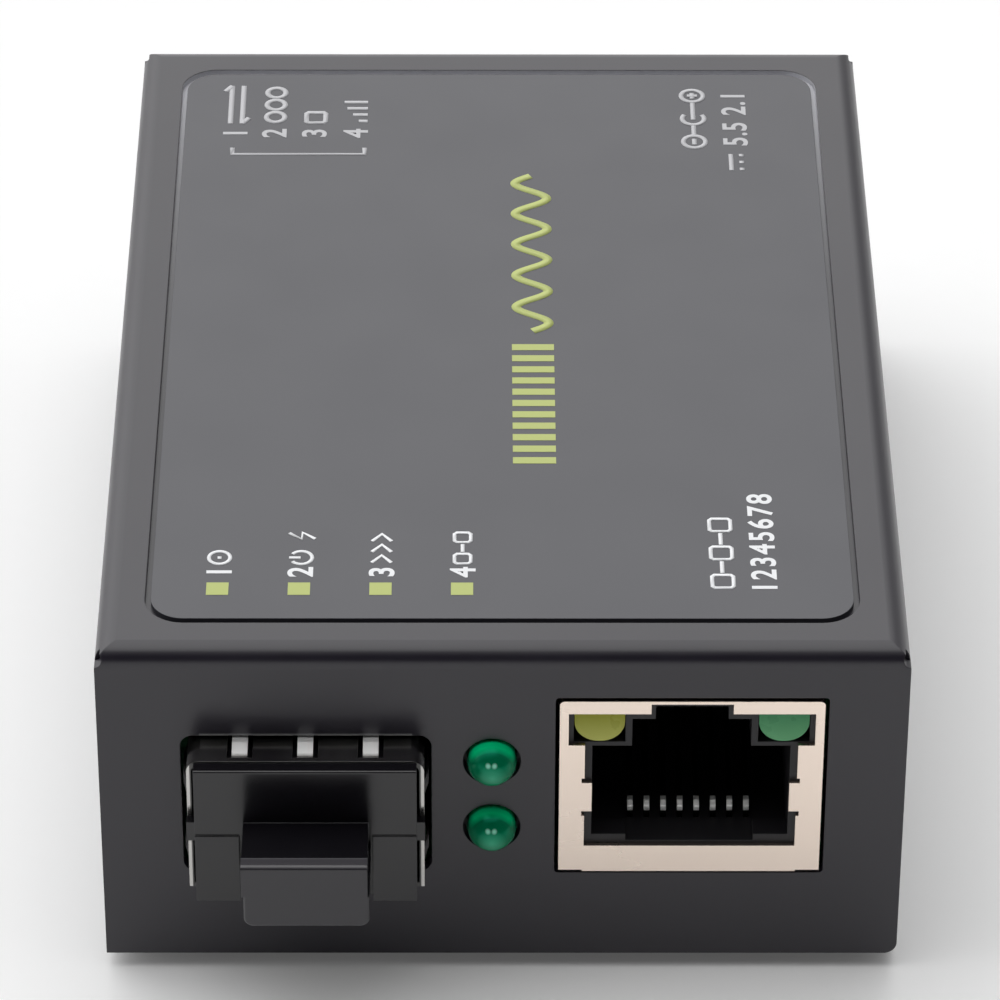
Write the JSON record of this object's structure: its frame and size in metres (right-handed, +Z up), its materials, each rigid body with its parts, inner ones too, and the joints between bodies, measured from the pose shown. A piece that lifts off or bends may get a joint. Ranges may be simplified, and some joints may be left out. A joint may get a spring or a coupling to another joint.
{
  "type": "fibre media converter",
  "caption": "Small folded-steel box that links a caged pluggable fibre module slot with a copper network jack, with status lamps, mode switches and a low-voltage power inlet.",
  "frame": {"origin": "middle of the overall footprint, on the surface that the feet stand on", "axes": "+Z up, front panel faces -Y, +X to the right of someone facing the front panel"},
  "size_m": [0.049, 0.0766, 0.0246],
  "materials": {
    "cover_paint": "fine matt dark grey powder coat",
    "label_film": "satin grey polyester film with lime and white print",
    "plate_paint": "matt dark grey powder coat",
    "board": "green solder mask over glass-fibre laminate",
    "screw_black": "black oxide",
    "screw_zinc": "bright zinc plate",
    "standoff_brass": "turned, satin",
    "foot_rubber": "matt black",
    "cage_nickel": "bright nickel plate, spring temper",
    "connector_black": "glass-filled black",
    "contact_gold": "gold plate",
    "lead_tin": "tinned",
    "plug_black": "moulded black polyethylene, fine spark texture",
    "jack_shell": "satin nickel plate",
    "jack_plastic": "moulded dark grey",
    "lamp_yellow_green": "clear yellow-green",
    "lamp_green": "clear green",
    "lamp_emerald": "clear emerald green",
    "holder_black": "moulded black",
    "inlet_black": "moulded black",
    "switch_red": "moulded red",
    "lever_white": "moulded white",
    "chip_epoxy": "moulded epoxy",
    "ferrite": "sintered dark grey",
    "can_aluminium": "drawn, satin"
  },
  "bodies": {
    "case": {"board_screw_1": "screw_zinc", "board_screw_2": "screw_zinc", "board_screw_3": "screw_zinc", "board_screw_4": "screw_zinc", "bottom_plate": "plate_paint", "capacitor_left": "can_aluminium", "capacitor_right": "can_aluminium", "case_screw_1": "screw_black", "case_screw_2": "screw_black", "case_screw_3": "screw_black", "case_screw_4": "screw_black", "circuit_board": "board", "converter_chip": "chip_epoxy", "crystal_can": "can_aluminium", "dc_jack_body": "inlet_black", "dc_jack_leaf": "lead_tin", "dc_jack_pin": "lead_tin", "dip_switch_body": "switch_red", "label_overlay": "label_film", "led_holder": "holder_black", "led_legs": "lead_tin", "magnetics_module": "chip_epoxy", "memory_chip": "chip_epoxy", "power_inductor": "ferrite", "regulator_chip": "chip_epoxy", "rj45_contacts": "contact_gold", "rj45_housing": "jack_plastic", "rj45_lamp_left": "lamp_yellow_green", "rj45_lamp_right": "lamp_green", "rj45_shield": "jack_shell", "rubber_foot_1": "foot_rubber", "rubber_foot_2": "foot_rubber", "rubber_foot_3": "foot_rubber", "rubber_foot_4": "foot_rubber", "sfp_cage": "cage_nickel", "sfp_cage_floor": "cage_nickel", "sfp_connector": "connector_black", "sfp_connector_leads": "contact_gold", "standoff_1": "standoff_brass", "standoff_2": "standoff_brass", "standoff_3": "standoff_brass", "standoff_4": "standoff_brass", "status_lamp_lower": "lamp_emerald", "status_lamp_upper": "lamp_emerald", "top_cover": "cover_paint"},
    "plug": {"dust_plug": "plug_black"},
    "lever_1": {"dip_lever_1": "lever_white"},
    "lever_2": {"dip_lever_2": "lever_white"},
    "lever_3": {"dip_lever_3": "lever_white"},
    "lever_4": {"dip_lever_4": "lever_white"}
  },
  "joints": [
    {"name": "plug_pull", "type": "slide", "parent": "case", "child": "plug", "axis": [0, -1, 0], "range_m": [0, 0.014]},
    {"name": "lever_1_slide", "type": "slide", "parent": "case", "child": "lever_1", "axis": [0, 0, 1], "range_m": [0, 0.0014]},
    {"name": "lever_2_slide", "type": "slide", "parent": "case", "child": "lever_2", "axis": [0, 0, 1], "range_m": [0, 0.0014]},
    {"name": "lever_3_slide", "type": "slide", "parent": "case", "child": "lever_3", "axis": [0, 0, 1], "range_m": [0, 0.0014]},
    {"name": "lever_4_slide", "type": "slide", "parent": "case", "child": "lever_4", "axis": [0, 0, 1], "range_m": [0, 0.0014]}
  ]
}
